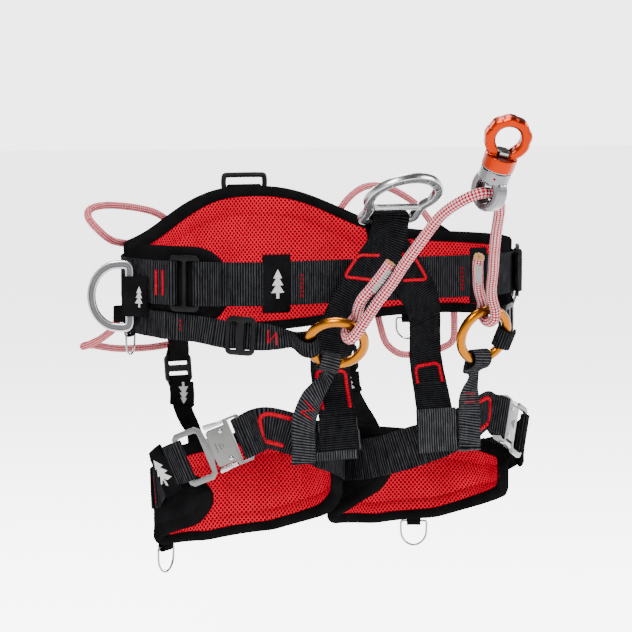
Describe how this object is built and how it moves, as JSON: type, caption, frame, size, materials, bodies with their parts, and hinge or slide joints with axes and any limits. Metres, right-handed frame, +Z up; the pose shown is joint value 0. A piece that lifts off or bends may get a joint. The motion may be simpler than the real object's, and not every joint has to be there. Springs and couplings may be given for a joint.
{
  "type": "tree climbing saddle",
  "caption": "Padded waist belt and leg loops with webbing, a chest D, hip Ds, rope bridge on two rings and a rigging swivel.",
  "frame": {"origin": "middle of the waist opening at belt height", "axes": "+X towards the wearer's left, -Y to the front, +Z up"},
  "size_m": [0.5492, 0.5633, 0.5044],
  "materials": {
    "black_fabric": "woven nylon",
    "red_mesh": "knitted spacer mesh",
    "grey_webbing": "ribbed polyester webbing",
    "polished_alloy": "polished",
    "black_steel": "black oxide",
    "grey_alloy": "satin",
    "gold_anodised": "anodised",
    "orange_anodised": "anodised",
    "red_white_rope": "braided",
    "black_plastic": "moulded"
  },
  "bodies": {
    "harness": {"back_loop_tab": "black_fabric", "back_pad_lining": "red_mesh", "back_pad_shell": "black_fabric", "belt_ring_tab_l": "black_fabric", "belt_ring_tab_r": "black_fabric", "bridge_adjuster_l": "black_steel", "bridge_adjuster_r": "black_steel", "bridge_rope": "red_white_rope", "bridge_strap_l": "grey_webbing", "bridge_strap_r": "grey_webbing", "chest_webbing": "grey_webbing", "front_belt": "grey_webbing", "gear_loop_lower_l": "red_white_rope", "gear_loop_lower_r": "red_white_rope", "gear_loop_upper_l": "red_white_rope", "gear_loop_upper_r": "red_white_rope", "leg_buckle_female_l": "grey_alloy", "leg_buckle_female_r": "grey_alloy", "leg_buckle_male_l": "polished_alloy", "leg_buckle_male_r": "polished_alloy", "leg_pad_l": "red_mesh", "leg_pad_r": "red_mesh", "leg_ring_tab_l": "black_fabric", "leg_ring_tab_r": "black_fabric", "leg_strap_l": "grey_webbing", "leg_strap_r": "grey_webbing", "leg_tail_strap_l": "grey_webbing", "leg_tail_strap_r": "grey_webbing", "rear_belt": "grey_webbing", "rear_buckle_l": "black_plastic", "rear_buckle_r": "black_plastic", "rear_strap_lower_l": "grey_webbing", "rear_strap_lower_r": "grey_webbing", "rear_strap_upper_l": "grey_webbing", "rear_strap_upper_r": "grey_webbing", "riser_l": "grey_webbing", "riser_r": "grey_webbing", "side_d_sleeve_l": "black_fabric", "side_d_sleeve_r": "black_fabric", "waist_slider_l": "black_steel", "waist_slider_r": "black_steel"},
    "swivel_base": {"swivel_base": "grey_alloy", "swivel_bolt": "polished_alloy", "swivel_washer": "polished_alloy"},
    "back_loop": {"back_loop": "black_plastic"},
    "belt_ring_l": {"belt_ring_l": "polished_alloy"},
    "belt_ring_r": {"belt_ring_r": "polished_alloy"},
    "bridge_ring_l": {"bridge_ring_l": "gold_anodised"},
    "bridge_ring_r": {"bridge_ring_r": "gold_anodised"},
    "chest_d": {"chest_d": "polished_alloy"},
    "leg_ring_l": {"leg_ring_l": "polished_alloy"},
    "leg_ring_r": {"leg_ring_r": "polished_alloy"},
    "side_d_l": {"side_d_l": "polished_alloy"},
    "side_d_r": {"side_d_r": "polished_alloy"},
    "swivel_eye": {"swivel_eye": "orange_anodised"},
    "leg_buckle_lever_lower_l": {"leg_buckle_lever_lower_l": "polished_alloy"},
    "leg_buckle_lever_lower_r": {"leg_buckle_lever_lower_r": "polished_alloy"},
    "leg_buckle_lever_upper_l": {"leg_buckle_lever_upper_l": "polished_alloy"},
    "leg_buckle_lever_upper_r": {"leg_buckle_lever_upper_r": "polished_alloy"}
  },
  "joints": [
    {"name": "chest_d_swing", "type": "hinge", "parent": "harness", "child": "chest_d", "pos_m": [0, -0.1375, 0.064], "axis": [1, 0, 0], "range_deg": [-60, 60]},
    {"name": "side_d_swing_l", "type": "hinge", "parent": "harness", "child": "side_d_l", "pos_m": [0.23436, -0.00321, -0.017], "axis": [0, 0, 1], "range_deg": [-95, 42]},
    {"name": "side_d_swing_r", "type": "hinge", "parent": "harness", "child": "side_d_r", "pos_m": [-0.23436, -0.00321, -0.017], "axis": [0, 0, 1], "range_deg": [-42, 95]},
    {"name": "back_loop_flip", "type": "hinge", "parent": "harness", "child": "back_loop", "pos_m": [0, 0.178, 0.086], "axis": [1, 0, 0], "range_deg": [-150, 30]},
    {"name": "belt_ring_swing_l", "type": "hinge", "parent": "harness", "child": "belt_ring_l", "pos_m": [0.18033, 0.1085, -0.06681], "axis": [0.724, -0.6898, 0], "range_deg": [-35, 110]},
    {"name": "leg_ring_swing_l", "type": "hinge", "parent": "harness", "child": "leg_ring_l", "pos_m": [0.16112, 0.06202, -0.30017], "axis": [0.866, -0.5, 0], "range_deg": [-35, 110]},
    {"name": "bridge_ring_spin_l", "type": "hinge", "parent": "harness", "child": "bridge_ring_l", "pos_m": [0.0903, -0.1862, -0.0582], "axis": [0.03, -0.94, -0.34], "continuous": true},
    {"name": "belt_ring_swing_r", "type": "hinge", "parent": "harness", "child": "belt_ring_r", "pos_m": [-0.18033, 0.1085, -0.06681], "axis": [0.724, 0.6898, 0], "range_deg": [-35, 110]},
    {"name": "leg_ring_swing_r", "type": "hinge", "parent": "harness", "child": "leg_ring_r", "pos_m": [-0.16112, 0.06202, -0.30017], "axis": [0.866, 0.5, 0], "range_deg": [-35, 110]},
    {"name": "bridge_ring_spin_r", "type": "hinge", "parent": "harness", "child": "bridge_ring_r", "pos_m": [-0.0903, -0.1862, -0.0582], "axis": [-0.4008, -0.6913, -0.6012], "continuous": true},
    {"name": "swivel_swing", "type": "hinge", "parent": "harness", "child": "swivel_base", "pos_m": [-0.0017, -0.3277, 0.0964], "axis": [0.9892, 0.1466, 0.0091], "range_deg": [-45, 45]},
    {"name": "swivel_spin", "type": "hinge", "parent": "swivel_base", "child": "swivel_eye", "pos_m": [0, -0.3406, 0.1215], "axis": [0.06, -0.46, 0.8859], "continuous": true},
    {"name": "leg_buckle_lever_upper_l_press", "type": "hinge", "parent": "harness", "child": "leg_buckle_lever_upper_l", "pos_m": [0.18036, -0.104, -0.14265], "axis": [0.541, -0.841, 0], "range_deg": [-4.5, 0], "stiffness_Nm_per_rad": 0.3},
    {"name": "leg_buckle_lever_lower_l_press", "type": "hinge", "parent": "harness", "child": "leg_buckle_lever_lower_l", "pos_m": [0.16553, -0.11353, -0.18557], "axis": [0.541, -0.841, 0], "range_deg": [0, 4.5], "stiffness_Nm_per_rad": 0.3},
    {"name": "leg_buckle_lever_upper_r_press", "type": "hinge", "parent": "harness", "child": "leg_buckle_lever_upper_r", "pos_m": [-0.18036, -0.104, -0.14265], "axis": [-0.541, -0.841, 0], "range_deg": [0, 4.5], "stiffness_Nm_per_rad": 0.3},
    {"name": "leg_buckle_lever_lower_r_press", "type": "hinge", "parent": "harness", "child": "leg_buckle_lever_lower_r", "pos_m": [-0.16553, -0.11353, -0.18557], "axis": [-0.541, -0.841, 0], "range_deg": [-4.5, 0], "stiffness_Nm_per_rad": 0.3}
  ]
}
